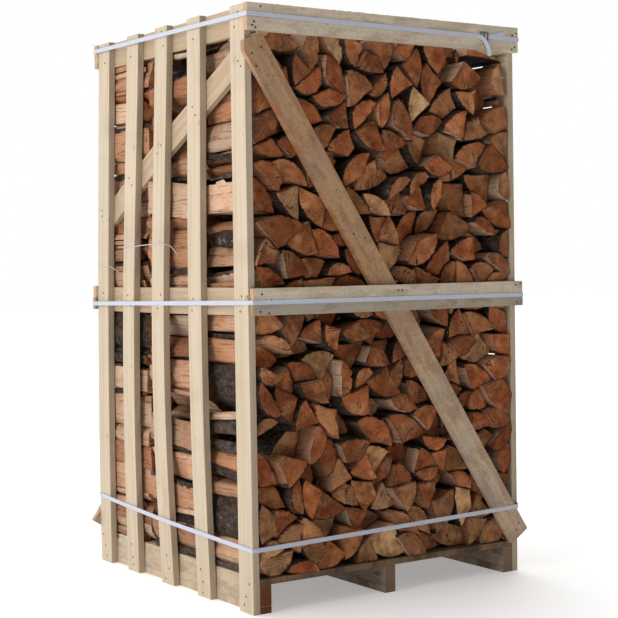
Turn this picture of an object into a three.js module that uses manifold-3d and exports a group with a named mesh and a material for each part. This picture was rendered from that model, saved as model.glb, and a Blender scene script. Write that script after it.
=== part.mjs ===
// Slatted pallet crate packed with split firewood, strapped round three times.
// Millimetres, +Z up. Everything is laid out in the crate's own measures: x runs
// from the left slats to the right ones, y from the front edges of the slats to
// the back, z up from the ground. The finished group is then moved so that its
// origin is the middle of the underside of its bounding box.
import * as THREE from 'three';
import { mergeVertices } from 'three/addons/utils/BufferGeometryUtils.js';
import Module from 'manifold-3d';

const wasm = await Module();
wasm.setup();

// ---- driving dimensions -------------------------------------------------
const WIDTH = 1150; // outside faces of the left and right slats
const HEIGHT = 2000;
const GAP = 0.3; // kept between pieces that touch

const SLAT = { thick: 25, wide: 90 };
const SLAT_FEET = [0, 282, 546, 818, 1050]; // front edge of each slat at the ground
const SLAT_HEADS = [0, 290, 524, 745, 985]; // and at the top: the rear ones lean
const SIDE_BULGE = [1, 17, 29, 20, 9]; // most that the load pushes each slat out
const BULGE_LOW = 0.8; // under 1 puts the most bulge below half height
const BULGE_SHARP = 1.3; // over 1 flattens it towards the ground and the top
const BACK_FOOT = SLAT_FEET[4] + SLAT.wide;
const BACK_HEAD = SLAT_HEADS[4] + SLAT.wide;
const BACK_SLOPE = (BACK_HEAD - BACK_FOOT) / HEIGHT;

const BOARD = 22; // thickness of rails, laths and braces
const LATH = 45; // height of one lath; two make a rail on the front and back
const RAIL_HIGH = 92; // the one-board rails inside the side slats
const RAIL_DROP = 2; // the top rails end this much below the slats' heads
const SET_IN = 1; // rails end this much inside the slats' front and back edges
const MID_Z = 985; // underside of the middle rails
const MID_DROOP = 8; // the side middle rails fall this much towards the back
const TOP_LATHS = [[-3, 1157], [-2, 1158]]; // ends of the lower and upper top lath
const MID_LATHS = [[3, 1169], [5, 1167]];
const LATH_BOW = 24; // the middle laths bend out over the brace behind them

const BRACE = { wide: 90, tilt: 32.87 * Math.PI / 180, headX: 52, headZ: 1905, long: 2081 };
const BRACE_TRIM = { x: -15, z: 1876 }; // the head is sawn off beside the slat
const SIDE_BRACE = { wide: 90, frontY: 30, frontZ: 1862, backY: 1080, backZ: 1327 };

const SKID_HIGH = 25;
const RUNNER_WIDE = 45;
const RUNNER_SHORT = 2; // the base ends this much short of the slats' rear edges
const DECK_Z = 95; // underside of the deck boards
const DECK = { thick: 20, wide: 100, count: 6 };
const MIDDLE_RUNNER_X = 560;

const ROWS = 3; // rows of logs, one behind the other
const ROW_SPARE = 10; // kept clear at each end of a row
const ROW_PROUD = 16; // how far front log ends stand out past the slats
const PILE_TOP = 1950;
const PILE_FALL = { x: 850, z: 1868 }; // from here the pile slopes down to the right
const ROW_BULGE = [0, 16, 8]; // how far each row spreads into the bulge of the sides
const ROW_STATIONS = [400, 650, 900, 1300, 1600]; // heights where its sides bend

const STRAP = { wide: 15, thick: 0.8 };
const STRAP_HEIGHTS = { // height of the middle of each strap at three corners
  strap_top: { frontLeft: 1963, frontRight: 1957, backLeft: 1976 },
  strap_middle: { frontLeft: 1028, frontRight: 1024, backLeft: 1007 },
  strap_bottom: { frontLeft: 213, frontRight: 246, backLeft: 259 },
};
const TAIL_DROOP = [[950, 1958], [1004, 1956], [1015, 1889]]; // one free end, in (x, z)
const TAIL_LIFT = 7; // it stands off the strap, to pass over the buckle,
const TAIL_TWIST = THREE.MathUtils.degToRad(30); // and twists as it hangs
const TAIL_JUT = [[1016, 1958], [1096, 1976]]; // the other one
const BUCKLE = { x: 995, z: 1957, wide: 34, high: 32, wire: 2.6 };
const TWINE = { // heights at the slats that it crosses, and points between them
  radius: 1.5,
  middle: {
    heights: [1222, 1228], rearEnd: [14, 968, 1223], slack: [-24, 720, 1225], frontEnd: [5, 486, 1190],
  },
  rear: { heights: [1152, 1146], frontEnd: [14, 968, 1128] },
};

// ---- materials ----------------------------------------------------------
const finish = (color, roughness, metalness = 0) => ({ color, roughness, metalness });
const PALE_PINE = finish(0xd8c8a6, 0.8);
const WEATHERED_PINE = finish(0xa3957e, 0.85);
const RUNNER_WOOD = finish(0x7d6a56, 0.85);
const SPLIT_LOGS = finish(0x8a5238, 0.9);
const WHITE_STRAP = finish(0xd5d8e4, 0.5);
const DARK_WIRE = finish(0x4a4c50, 0.45, 0.8);

// ---- shape helpers ------------------------------------------------------
const crate = new THREE.Group();

function place(name, geometry, look, parent = crate) {
  const mesh = new THREE.Mesh(geometry, new THREE.MeshStandardMaterial(look));
  mesh.name = name;
  parent.add(mesh);
  return mesh;
}

function block(x, y, z) { // each argument is a [low, high] pair
  const box = new THREE.BoxGeometry(x[1] - x[0], y[1] - y[0], z[1] - z[0]);
  return box.translate((x[0] + x[1]) / 2, (y[0] + y[1]) / 2, (z[0] + z[1]) / 2);
}

function outline(points) {
  return new THREE.Shape(points.map(([a, b]) => new THREE.Vector2(a, b)));
}

function prism(points, depth) {
  return new THREE.ExtrudeGeometry(outline(points), { depth, bevelEnabled: false });
}

const X_AXIS = new THREE.Vector3(1, 0, 0);
const Y_AXIS = new THREE.Vector3(0, 1, 0);
const Z_AXIS = new THREE.Vector3(0, 0, 1);
// outline in (y, z), swept from x = low to x = high
function sweepX(points, low, high) {
  const turn = new THREE.Matrix4().makeBasis(Y_AXIS, Z_AXIS, X_AXIS);
  return prism(points, high - low).applyMatrix4(turn).translate(low, 0, 0);
}
// outline in (x, z), swept from y = low to y = high
function sweepY(points, low, high) {
  const turn = new THREE.Matrix4().makeBasis(X_AXIS, Z_AXIS, Y_AXIS.clone().negate());
  return prism(points, high - low).applyMatrix4(turn).translate(0, high, 0);
}

function toSolid(geometry) {
  const bare = geometry.clone();
  bare.deleteAttribute('normal');
  bare.deleteAttribute('uv');
  const merged = mergeVertices(bare, 1e-3);
  const triVerts = Uint32Array.from(merged.index.array);
  const vertProperties = Float32Array.from(merged.attributes.position.array);
  return new wasm.Manifold(new wasm.Mesh({ numProp: 3, vertProperties, triVerts }));
}

function toGeometry(solid) {
  const mesh = solid.getMesh();
  const geometry = new THREE.BufferGeometry();
  geometry.setAttribute('position', new THREE.BufferAttribute(mesh.vertProperties, 3));
  geometry.setIndex(new THREE.BufferAttribute(mesh.triVerts, 1));
  return geometry;
}

const backY = (z) => BACK_FOOT + BACK_SLOPE * z;

// ---- sides: slats, rails and a brace inside them -------------------------
// The load bends each side out: a slat moves by its own bulge, and the boards
// nailed inside them follow, straight from one slat to the next.
const slatY = (i, z) => SLAT_FEET[i] + (SLAT_HEADS[i] - SLAT_FEET[i]) * z / HEIGHT;
const bulgeShare = (z) => Math.sin(Math.PI * (z / HEIGHT) ** BULGE_LOW) ** BULGE_SHARP;
const slatBulge = (i, z) => SIDE_BULGE[i] * bulgeShare(THREE.MathUtils.clamp(z, 0, HEIGHT));

function bulgeAt(y, z) {
  const edges = SLAT_FEET.flatMap((_, i) => [[slatY(i, z), i], [slatY(i, z) + SLAT.wide, i]]);
  const next = edges.findIndex(([edge]) => edge > y);
  if (next === 0) return slatBulge(0, z);
  if (next < 0) return slatBulge(SLAT_FEET.length - 1, z);
  const [[edgeA, a], [edgeB, b]] = [edges[next - 1], edges[next]];
  const share = (y - edgeA) / (edgeB - edgeA);
  return THREE.MathUtils.lerp(slatBulge(a, z), slatBulge(b, z), share);
}

// moves every vertex of a geometry to where(x, y, z)
function reshape(geometry, where) {
  const { position } = geometry.attributes;
  for (let i = 0; i < position.count; i += 1) {
    position.setXYZ(i, ...where(position.getX(i), position.getY(i), position.getZ(i)));
  }
  return geometry;
}

// faces from a side's outside: 0 is the slats' outer face, and more is further in
const acrossSide = { left: (inward) => inward, right: (inward) => WIDTH - inward };

function slat(side, i) {
  const steps = 16;
  const box = new THREE.BoxGeometry(SLAT.thick, SLAT.wide, HEIGHT, 1, 1, steps);
  return reshape(box, (x, y, z) => {
    const up = z + HEIGHT / 2;
    const depth = side === 'left' ? x + SLAT.thick / 2 : SLAT.thick / 2 - x;
    const along = slatY(i, up) + y + SLAT.wide / 2;
    return [acrossSide[side](depth - slatBulge(i, up)), along, up];
  });
}

// a board inside the slats, from its outline [front low, back low, back high, front high]
function bentBoard(side, corners, inner) {
  const [frontLow, backLow, backHigh, frontHigh] = corners.map((p) => new THREE.Vector2(...p));
  const front = frontLow.clone().lerp(frontHigh, 0.5);
  const run = backLow.clone().lerp(backHigh, 0.5).sub(front);
  const crossings = SLAT_FEET.flatMap((foot, i) => [0, SLAT.wide].map((offset) => {
    const lean = (SLAT_HEADS[i] - foot) / HEIGHT;
    return (foot + lean * front.y + offset - front.x) / (run.x - lean * run.y);
  }));
  const stations = [0, ...crossings.filter((t) => t > 0.01 && t < 0.99), 1];
  const count = stations.length - 1;
  const box = new THREE.BoxGeometry(1, count, 1, 1, count, 1);
  return reshape(box, (x, y, z) => {
    const t = stations[Math.round(y + count / 2)];
    const [from, to] = z < 0 ? [frontLow, backLow] : [frontHigh, backHigh];
    const point = from.clone().lerp(to, t);
    const depth = inner + BOARD * (side === 'left' ? x + 0.5 : 0.5 - x);
    return [acrossSide[side](depth - bulgeAt(point.x, point.y)), point.x, point.y];
  });
}

// outlines in (y, z) of the boards inside the slats, widened by grow on every edge
function topRail(grow) {
  const high = HEIGHT - RAIL_DROP + grow;
  const low = HEIGHT - RAIL_DROP - RAIL_HIGH - grow;
  const [front, back] = [SET_IN - grow, (z) => backY(z) - SET_IN + grow];
  return [[front, low], [back(low), low], [back(high), high], [front, high]];
}
function midRail(grow) {
  const front = SET_IN - grow;
  const back = backY(MID_Z + RAIL_HIGH) - SET_IN + grow;
  const top = MID_Z + RAIL_HIGH + grow;
  const low = MID_Z - grow;
  return [[front, low], [back, low - MID_DROOP], [back, top - MID_DROOP], [front, top]];
}
function sideBrace(grow) {
  const { frontY, frontZ, backY: farY, backZ, wide } = SIDE_BRACE;
  const along = new THREE.Vector2(farY - frontY, backZ - frontZ).normalize();
  const half = wide / 2 + grow;
  const side = new THREE.Vector2(-along.y, along.x).multiplyScalar(half);
  const front = [frontY - along.x * grow, frontZ - along.y * grow];
  const back = [farY + along.x * grow, backZ + along.y * grow];
  return [
    [front[0] - side.x, front[1] - side.y], [back[0] - side.x, back[1] - side.y],
    [back[0] + side.x, back[1] + side.y], [front[0] + side.x, front[1] + side.y],
  ];
}
const SIDE_BOARDS = { top_rail: topRail, middle_rail: midRail, brace: sideBrace };

const INNER = SLAT.thick + GAP; // the rails' outer faces, measured from the slats' faces
const BRACE_SPRING = 1.2; // the brace crosses the bulge askew, so it stands off a little
for (const side of ['left', 'right']) {
  SLAT_FEET.forEach((_, i) => place(`${side}_slat_${i + 1}`, slat(side, i), PALE_PINE));
  for (const [name, shape] of Object.entries(SIDE_BOARDS)) {
    const inner = name === 'brace' ? INNER + BRACE_SPRING : INNER;
    place(`${side}_${name}`, bentBoard(side, shape(0), inner), PALE_PINE);
  }
}

// ---- front and back: paired laths and a brace ----------------------------
// Drawn for the front, where outward is -y. The back is the same set turned
// half round and leaned with the rear slats.
function straightLath([left, right], z) {
  return block([left, right], [-BOARD - GAP, -GAP], [z, z + LATH - GAP]);
}
const BOW_STEPS = 16;
const lathBow = (x) => LATH_BOW * Math.max(0, Math.sin(Math.PI * x / WIDTH));
function bowedLath([left, right], z) {
  const bow = (x) => -GAP - lathBow(x);
  const rear = [];
  const front = [];
  for (let i = 0; i <= BOW_STEPS; i += 1) {
    const x = left + (right - left) * i / BOW_STEPS;
    rear.unshift([x, bow(x)]);
    front.push([x, bow(x) - BOARD]);
  }
  return prism([...front, ...rear], LATH - GAP).translate(0, 0, z);
}
function faceBraceOutline() {
  const run = Math.tan(BRACE.tilt);
  const leftEdgeX = BRACE.headX - BRACE.wide / Math.cos(BRACE.tilt);
  const trimZ = BRACE.headZ - (BRACE_TRIM.x - leftEdgeX) / run;
  const footX = BRACE.headX + BRACE.long * Math.sin(BRACE.tilt);
  const footZ = BRACE.headZ - BRACE.long * Math.cos(BRACE.tilt);
  const acrossX = BRACE.wide * Math.cos(BRACE.tilt);
  const acrossZ = BRACE.wide * Math.sin(BRACE.tilt);
  return [
    [BRACE_TRIM.x, trimZ], [footX - acrossX, footZ - acrossZ], [footX, footZ],
    [BRACE.headX, BRACE.headZ], [BRACE_TRIM.x, BRACE_TRIM.z],
  ];
}

function face(side, parent) {
  const topZ = HEIGHT - 2 * LATH;
  const levels = ['lower', 'upper'];
  levels.forEach((level, i) => {
    const topLath = straightLath(TOP_LATHS[i], topZ + i * LATH);
    place(`${side}_top_lath_${level}`, topLath, WEATHERED_PINE, parent);
    const midLath = bowedLath(MID_LATHS[i], MID_Z + i * LATH);
    place(`${side}_middle_lath_${level}`, midLath, WEATHERED_PINE, parent);
  });
  const brace = sweepY(faceBraceOutline(), -BOARD - GAP, -GAP);
  place(`${side}_brace`, brace, WEATHERED_PINE, parent);
}
face('front', crate);
const back = new THREE.Group();
back.position.set(WIDTH, BACK_FOOT, 0);
back.rotation.set(Math.atan(-BACK_SLOPE), 0, Math.PI);
crate.add(back);
face('back', back);

// ---- pallet base: skids, stringers and deck boards -----------------------
const runners = {
  left: SLAT.thick + GAP,
  middle: MIDDLE_RUNNER_X - RUNNER_WIDE / 2,
  right: WIDTH - SLAT.thick - GAP - RUNNER_WIDE,
};
const DECK_TOP = DECK_Z + DECK.thick;
const deckPitch = (backY(DECK_TOP) - RUNNER_SHORT - DECK.wide) / (DECK.count - 1);
const deckSpan = (i) => [i * deckPitch, i * deckPitch + DECK.wide];
// the side stringers rise to the deck's top, with a step at each end for the end boards
function stringerOutline(side) { // in (y, z)
  const [low, high] = [SKID_HIGH + GAP, DECK_Z - GAP];
  const end = backY(DECK_Z) - RUNNER_SHORT;
  if (side === 'middle') return [[0, low], [end, low], [end, high], [0, high]];
  const [front, rear] = [deckSpan(0)[1] + GAP, deckSpan(DECK.count - 1)[0] - GAP];
  return [
    [0, low], [end, low], [end, high], [rear, high],
    [rear, DECK_TOP], [front, DECK_TOP], [front, high], [0, high],
  ];
}
for (const [side, x] of Object.entries(runners)) {
  const skid = block([x, x + RUNNER_WIDE], [0, BACK_FOOT - RUNNER_SHORT], [0, SKID_HIGH]);
  place(`${side}_skid`, skid, RUNNER_WOOD);
  place(`${side}_stringer`, sweepX(stringerOutline(side), x, x + RUNNER_WIDE), RUNNER_WOOD);
}
for (let i = 0; i < DECK.count; i += 1) {
  const atEnd = i === 0 || i === DECK.count - 1;
  const inner = [runners.left + RUNNER_WIDE + GAP, runners.right - GAP];
  const across = atEnd ? [SLAT.thick + GAP, WIDTH - SLAT.thick - GAP] : inner;
  place(`deck_board_${i + 1}`, block(across, deckSpan(i), [DECK_Z, DECK_TOP]), RUNNER_WOOD);
}

// ---- the firewood: one solid for each row, up to the tips of its logs ----
function rowOutline(row) { // in (y, z)
  const line = (share, z, shift) => [backY(z) * share + shift, z];
  const isFront = row === 0;
  const low = DECK_TOP + GAP;
  const front = isFront ? -ROW_PROUD : ROW_SPARE;
  return [
    line(row / ROWS, low, front), line((row + 1) / ROWS, low, -ROW_SPARE),
    line((row + 1) / ROWS, PILE_TOP, -ROW_SPARE), line(row / ROWS, PILE_TOP, front),
  ];
}
const logLeft = SLAT.thick + 2 * GAP;
const logRight = WIDTH - logLeft;
function pileOutline(row) { // in (x, z)
  const spread = (z) => ROW_BULGE[row] * bulgeShare(z);
  const stations = [DECK_TOP + GAP, ...ROW_STATIONS];
  const side = (edge, way) => stations.map((z) => [edge + way * spread(z), z]);
  const rightTop = [[logRight, PILE_FALL.z], [PILE_FALL.x, PILE_TOP]];
  return [...side(logRight, 1), ...rightTop, [logLeft, PILE_TOP], ...side(logLeft, -1).reverse()];
}
function keptClear() { // what the logs stay out of
  const clear = 2 * GAP;
  const solids = [];
  for (const shape of Object.values(SIDE_BOARDS)) {
    const reach = INNER + BRACE_SPRING + BOARD + clear;
    solids.push(sweepX(shape(clear), 0, reach), sweepX(shape(clear), WIDTH - reach, WIDTH));
  }
  const beyond = 2 * BOARD; // deep enough to pass out in front of the logs
  const band = (low, high) => block([0, WIDTH], [-beyond, 2 * clear], [low, high]);
  const { frontLeft, frontRight } = STRAP_HEIGHTS.strap_bottom;
  solids.push(band(MID_Z - clear, MID_Z + 2 * LATH + clear));
  solids.push(band(HEIGHT - 2 * LATH - clear, HEIGHT));
  solids.push(band(frontLeft - STRAP.wide, frontRight + STRAP.wide));
  solids.push(band(DECK_TOP - clear, DECK_TOP + 2 * STRAP.wide));
  solids.push(sweepY(faceBraceOutline(), -beyond, 2 * clear));
  return solids;
}
const obstacles = keptClear().map(toSolid).reduce((all, solid) => all.add(solid));
['front', 'middle', 'rear'].forEach((name, row) => {
  const bay = toSolid(sweepX(rowOutline(row), -WIDTH, 2 * WIDTH));
  const heap = toSolid(sweepY(pileOutline(row), -HEIGHT, HEIGHT));
  const logs = bay.intersect(heap).subtract(obstacles);
  place(`log_row_${name}`, toGeometry(logs), SPLIT_LOGS);
});

// ---- straps: taut, so each follows the convex hull of what it goes round --
function hull(points) {
  const sorted = [...points].sort((a, b) => a[0] - b[0] || a[1] - b[1]);
  const turn = (o, a, b) => (a[0] - o[0]) * (b[1] - o[1]) - (a[1] - o[1]) * (b[0] - o[0]);
  const chain = (list) => {
    const kept = [];
    for (const p of list) {
      while (kept.length > 1 && turn(kept.at(-2), kept.at(-1), p) <= 1e-6) kept.pop();
      kept.push(p);
    }
    return kept.slice(0, -1);
  };
  return [...chain(sorted), ...chain(sorted.reverse())];
}
function widen(corners, distance) { // moves every side of a convex outline outwards
  const count = corners.length;
  const sides = corners.map((p, i) => {
    const q = corners[(i + 1) % count];
    const length = Math.hypot(q[0] - p[0], q[1] - p[1]);
    const normal = [(q[1] - p[1]) / length, -(q[0] - p[0]) / length];
    return { normal, reach: normal[0] * p[0] + normal[1] * p[1] + distance };
  });
  return sides.map((b, i) => {
    const a = sides[(i + count - 1) % count];
    const cross = a.normal[0] * b.normal[1] - a.normal[1] * b.normal[0];
    return [
      (a.reach * b.normal[1] - b.reach * a.normal[1]) / cross,
      (b.reach * a.normal[0] - a.reach * b.normal[0]) / cross,
    ];
  });
}
// the outside points of the crate at one height, front and back
function cornersAt(z, frontPoints) {
  const points = SLAT_FEET.flatMap((_, i) => [0, SLAT.wide].flatMap((edge) => {
    const [out, y] = [slatBulge(i, z), slatY(i, z) + edge];
    return [[-out, y], [WIDTH + out, y]];
  }));
  for (const [x, out] of frontPoints) {
    points.push([x, -out], [WIDTH - x, backY(z) + out + GAP]);
  }
  return points;
}
function bowPoints() {
  const points = [];
  const [left, right] = MID_LATHS[0];
  for (let i = 0; i <= BOW_STEPS; i += 1) {
    const x = left + (right - left) * i / BOW_STEPS;
    points.push([x, BOARD + GAP + lathBow(x)]);
  }
  return points;
}
function bracePoints() {
  const { frontRight } = STRAP_HEIGHTS.strap_bottom;
  const edgeX = (z) => BRACE.headX + (BRACE.headZ - z) * Math.tan(BRACE.tilt);
  const right = edgeX(frontRight - STRAP.wide);
  const left = edgeX(frontRight + STRAP.wide) - BRACE.wide / Math.cos(BRACE.tilt);
  return [[left, BOARD + GAP], [right, BOARD + GAP]];
}
const strapOver = {
  strap_top: (z) => cornersAt(z, TOP_LATHS.flat().map((x) => [x, BOARD + GAP])),
  strap_middle: (z) => cornersAt(z, bowPoints()),
  strap_bottom: (z) => cornersAt(z, bracePoints()),
};
const STRAP_CLEAR = 1; // the strap bears on proud grain, not on the whole face
function strapLoop(name) {
  const { frontLeft, frontRight, backLeft } = STRAP_HEIGHTS[name];
  const backRight = frontRight + backLeft - frontLeft;
  const heights = [frontLeft, frontRight, backLeft, backRight];
  const [lowest, highest] = [Math.min(...heights) - STRAP.wide, Math.max(...heights) + STRAP.wide];
  const corners = hull([...strapOver[name](lowest), ...strapOver[name](highest)]);
  const loop = outline(widen(corners, STRAP_CLEAR + STRAP.thick));
  loop.holes.push(new THREE.Path(outline(widen(corners, STRAP_CLEAR)).getPoints().reverse()));
  const ring = new THREE.ExtrudeGeometry(loop, { depth: STRAP.wide, bevelEnabled: false });
  const depth = backY(frontLeft);
  const tilt = new THREE.Matrix4().set(
    1, 0, 0, 0,
    0, 1, 0, 0,
    (frontRight - frontLeft) / WIDTH, (backLeft - frontLeft) / depth, 1, frontLeft - STRAP.wide / 2,
    0, 0, 0, 1,
  );
  return ring.applyMatrix4(tilt);
}
// the two free ends of the top strap, at the buckle
const strapFace = -BOARD - GAP - STRAP_CLEAR - STRAP.thick; // front of the top strap
const OVERLAP = 0.2; // so that the ends and the loop join into one body
function hangingTail(steps) {
  const stops = TAIL_DROOP.map(([x, z]) => new THREE.Vector3(x, 0, z));
  const curve = new THREE.QuadraticBezierCurve3(...stops);
  const points = [];
  for (let i = 0; i <= steps; i += 1) {
    const t = i / steps;
    const along = curve.getTangent(t);
    const turn = new THREE.Quaternion().setFromAxisAngle(along, TAIL_TWIST * t);
    const side = along.clone().cross(Y_AXIS).applyQuaternion(turn).multiplyScalar(STRAP.wide / 2);
    const out = Y_AXIS.clone().applyQuaternion(turn).multiplyScalar(-STRAP.thick);
    const at = curve.getPoint(t);
    at.y = strapFace + OVERLAP - TAIL_LIFT * THREE.MathUtils.smoothstep(t, 0, 0.4);
    const [upper, lower] = [at.clone().add(side), at.clone().sub(side)];
    points.push(upper, lower, lower.clone().add(out), upper.clone().add(out));
  }
  const last = 4 * steps;
  const faces = [0, 1, 2, 0, 2, 3, last, last + 2, last + 1, last, last + 3, last + 2];
  for (let i = 0; i < last; i += 4) {
    for (let k = 0; k < 4; k += 1) {
      const [a, b] = [i + k, i + (k + 1) % 4];
      faces.push(a, b + 4, b, a, a + 4, b + 4);
    }
  }
  return new THREE.BufferGeometry().setFromPoints(points).setIndex(faces);
}
function juttingTail() {
  const [from, to] = TAIL_JUT.map((p) => new THREE.Vector2(...p));
  const across = to.clone().sub(from).normalize().rotateAround(new THREE.Vector2(), Math.PI / 2);
  const half = across.multiplyScalar(STRAP.wide / 2);
  const corners = [from.clone().sub(half), to.clone().sub(half), to.add(half), from.add(half)];
  return sweepY(corners.map(({ x, y }) => [x, y]), strapFace - STRAP.thick, strapFace + OVERLAP);
}
const strapTop = [strapLoop('strap_top'), hangingTail(14), juttingTail()].map(toSolid)
  .reduce((all, part) => all.add(part));
place('strap_top', toGeometry(strapTop), WHITE_STRAP);
place('strap_middle', strapLoop('strap_middle'), WHITE_STRAP);
place('strap_bottom', strapLoop('strap_bottom'), WHITE_STRAP);

function buckle() { // bent wire frame with a bar across its middle
  const { x, z, wide, high, wire } = BUCKLE;
  const front = strapFace - GAP - wire;
  const plate = [[x - wide / 2, x + wide / 2], [front, front + wire], [z - high / 2, z + high / 2]];
  let frame = toSolid(block(...plate));
  const window = [(wide - 3 * wire) / 2, high - 2 * wire];
  for (const side of [-1, 1]) {
    const middle = x + side * (window[0] + wire) / 2;
    const across = [middle - window[0] / 2, middle + window[0] / 2];
    const through = [front - wire, front + 2 * wire];
    const cut = block(across, through, [z - window[1] / 2, z + window[1] / 2]);
    frame = frame.subtract(toSolid(cut));
  }
  return toGeometry(frame);
}
place('strap_buckle', buckle(), DARK_WIRE);

// ---- two lengths of twine caught round the rear slats of the left side ----
function twine(points) {
  const stops = points.map((p) => new THREE.Vector3(...p));
  const path = new THREE.CatmullRomCurve3(stops, false, 'centripetal');
  const section = new THREE.Shape();
  section.absarc(0, 0, TWINE.radius, 0, 2 * Math.PI, false);
  const detail = { steps: 40, curveSegments: 4, bevelEnabled: false };
  return new THREE.ExtrudeGeometry(section, { ...detail, extrudePath: path });
}
const proud = -TWINE.radius - 1; // lying on the slats' outside faces
const EDGE_TURN = 3; // from a slat's edge to the turn of the twine round it
const TUCKED_IN = 12; // where the twine passes in between two slats
const behindSlat = (i, z, gap) => slatY(i, z) + SLAT.wide + gap;
const aheadOfSlat = (i, z, gap) => slatY(i, z) - gap;
function overSlat(i, z) { // points across the outside of one slat, rear edge first
  const x = proud - slatBulge(i, z);
  return [behindSlat(i, z, EDGE_TURN), slatY(i, z) + SLAT.wide / 2, aheadOfSlat(i, z, EDGE_TURN)]
    .map((y) => [x, y, z]);
}
function twineMiddle() {
  const { rearEnd, slack, frontEnd, heights: [rear, front] } = TWINE.middle;
  return [
    rearEnd, [0, behindSlat(3, rear, TUCKED_IN), rear],
    ...overSlat(3, rear), slack,
    ...overSlat(2, front), [-2 * EDGE_TURN, aheadOfSlat(2, front, TUCKED_IN), rear], frontEnd,
  ];
}
function twineRear() {
  const { frontEnd, heights: [over, out] } = TWINE.rear;
  return [
    [SLAT.thick - EDGE_TURN, behindSlat(4, over, EDGE_TURN), over],
    ...overSlat(4, over), [0, aheadOfSlat(4, out, TUCKED_IN), out], frontEnd,
  ];
}
place('twine_middle', twine(twineMiddle()), WHITE_STRAP);
place('twine_rear', twine(twineRear()), WHITE_STRAP);

// ---- origin: middle of the underside of the bounding box ------------------
crate.updateMatrixWorld(true);
const bounds = new THREE.Box3().setFromObject(crate, true);
const middle = bounds.getCenter(new THREE.Vector3());
crate.position.set(-middle.x, -middle.y, -bounds.min.z);

const group = new THREE.Group();
group.add(crate);
export default group;
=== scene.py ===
"""A slatted pallet crate packed with split firewood, in metres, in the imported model's frame.

-Y is the front, where the log ends show, +X is to the right and +Z is up. The boards, straps and
twine are the CAD nodes with their own finishes. The three rows of logs are made here: outlines of
split logs settle under gravity in each bay, and each outline becomes one rough log.
"""
import math
from collections import namedtuple

import bpy
import numpy as np
from mathutils import Matrix, Vector


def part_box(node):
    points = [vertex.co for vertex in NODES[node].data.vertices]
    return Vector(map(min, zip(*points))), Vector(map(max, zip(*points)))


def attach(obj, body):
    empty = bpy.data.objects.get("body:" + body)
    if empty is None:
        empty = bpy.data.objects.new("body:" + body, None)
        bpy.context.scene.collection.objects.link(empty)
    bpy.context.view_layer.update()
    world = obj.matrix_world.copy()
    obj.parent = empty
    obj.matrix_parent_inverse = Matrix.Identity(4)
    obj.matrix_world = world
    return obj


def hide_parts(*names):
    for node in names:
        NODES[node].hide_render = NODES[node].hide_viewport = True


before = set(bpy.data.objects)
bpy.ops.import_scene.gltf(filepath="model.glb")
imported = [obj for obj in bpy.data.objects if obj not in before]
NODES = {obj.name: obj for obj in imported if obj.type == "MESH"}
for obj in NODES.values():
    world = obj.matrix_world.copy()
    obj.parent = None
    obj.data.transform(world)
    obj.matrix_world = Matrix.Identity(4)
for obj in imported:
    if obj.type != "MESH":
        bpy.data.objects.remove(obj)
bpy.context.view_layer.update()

UP = Vector((0, 0, 1))

# ---- places taken from the frame
SLAT_COUNT = 5
DECK_COUNT = 6
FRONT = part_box("left_slat_1")[0].y  # the front edges of the first slats
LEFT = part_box("left_stringer")[0].x  # inner faces of the side slats
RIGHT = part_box("right_stringer")[1].x
DECK_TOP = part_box("deck_board_1")[1].z
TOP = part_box("front_top_lath_upper")[1].z


def corners_of(name):
    return np.array([v.co for v in NODES[name].data.vertices], float)


def put(name, data):
    piece = bpy.data.objects.new(name, data)
    bpy.context.scene.collection.objects.link(piece)
    return piece


def put_mesh(name, points, faces, *materials):
    mesh = bpy.data.meshes.new(name)
    mesh.from_pydata(points, [], faces)
    for material in materials:
        mesh.materials.append(material)
    return put(name, mesh)


# ---- node trees
class Value:
    """A socket of a node tree that can stand in a sum."""

    def __init__(self, look, socket):
        self.look, self.socket = look, socket

    def sum(self, operation, *others, output=0):
        kind = "Math" if self.socket.type == "VALUE" else "VectorMath"
        return self.look.add(kind, dict(enumerate((self, *others))), output, operation=operation)

    def __add__(self, other):
        return self.sum("ADD", other)

    def __sub__(self, other):
        return self.sum("SUBTRACT", other)

    def __mul__(self, other):
        return self.sum("MULTIPLY", other)

    def __truediv__(self, other):
        return self.sum("DIVIDE", other)

    def __abs__(self):
        return self.sum("ABSOLUTE")

    def dot(self, way):
        return self.sum("DOT_PRODUCT", tuple(way), output="Value")

    def length(self):
        return self.sum("LENGTH", output="Value")

    def split(self):
        node = self.look.node("SeparateXYZ", {0: self})
        return [Value(self.look, socket) for socket in node.outputs]

    def span(self, low, high, to_low=0.0, to_high=1.0):
        """A smooth step from to_low to to_high, as the value goes from low to high."""
        inputs = {"Value": self, "From Min": low, "From Max": high, "To Min": to_low, "To Max": to_high}
        return self.look.add("MapRange", inputs, "Result", interpolation_type="SMOOTHSTEP")


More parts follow.
